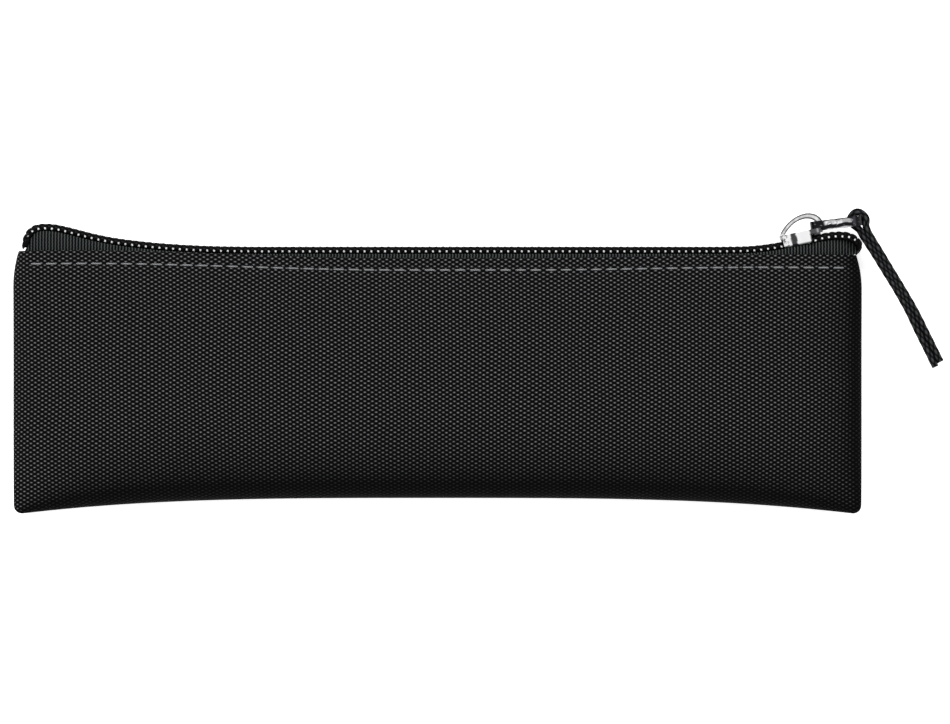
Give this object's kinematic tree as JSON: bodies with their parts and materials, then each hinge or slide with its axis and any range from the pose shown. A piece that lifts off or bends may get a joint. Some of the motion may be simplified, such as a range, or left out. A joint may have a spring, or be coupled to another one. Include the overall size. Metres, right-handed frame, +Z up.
{
  "type": "zip pencil pouch",
  "caption": "Slim black woven-cloth zip pouch for pens, lying on its back, with a nylon coil zip, metal slider, link and braided cord pull.",
  "frame": {"origin": "middle of the back panel's flat rest area, on the surface that the pouch lies on", "axes": "+X along the zip towards its closed end, +Y from the bottom seam to the zip, +Z up through the front panel"},
  "size_m": [0.2176, 0.0713, 0.0132],
  "materials": {
    "cloth": "black plain-weave polyester canvas",
    "binding": "folded black binding tape",
    "zip_tape": "ribbed black zip tape",
    "nylon": "glossy black nylon wire",
    "core_thread": "black twisted filler cord",
    "stitching": "dark grey polyester thread",
    "slider_metal": "polished nickel plating",
    "pull_cord": "black braided polyester cord"
  },
  "bodies": {
    "pouch": {"back_panel": "cloth", "left_seam_binding": "binding", "right_seam_binding": "binding", "back_zip_tape": "zip_tape", "back_zip_coil": "nylon", "back_coil_core": "core_thread", "back_topstitch": "stitching"},
    "front_wall": {"front_panel": "cloth", "front_zip_tape": "zip_tape", "front_zip_coil": "nylon", "front_coil_core": "core_thread", "front_topstitch": "stitching"},
    "slider": {"slider": "slider_metal"},
    "pull_link": {"pull_link": "slider_metal"},
    "pull_cord": {"pull_cord": "pull_cord"}
  },
  "joints": [
    {"name": "zip_slide", "type": "slide", "parent": "pouch", "child": "slider", "axis": [-0.9999, -0.0113, 0], "range_m": [0, 0.147], "deforming": ["back_zip_tape", "front_zip_tape", "back_zip_coil", "front_zip_coil", "back_coil_core", "front_coil_core", "pull_cord"]},
    {"name": "mouth_opening", "type": "hinge", "parent": "pouch", "child": "front_wall", "pos_m": [0, -0.033, 0.0043], "axis": [1, 0, 0], "range_deg": [0, 14]},
    {"name": "link_swing", "type": "hinge", "parent": "slider", "child": "pull_link", "pos_m": [0.08575, 0.03194, 0.006], "axis": [0, 0, 1], "range_deg": [0, 95]},
    {"name": "cord_swing", "type": "hinge", "parent": "pull_link", "child": "pull_cord", "pos_m": [0.09894, 0.03619, 0.006], "axis": [0, 0, 1], "range_deg": [0, 80]}
  ],
  "couplings": [
    {"joint": "mouth_opening", "follows": "zip_slide", "rad_per_m": 1.66},
    {"joint": "cord_swing", "follows": "zip_slide", "rad_per_m": 9.49}
  ]
}
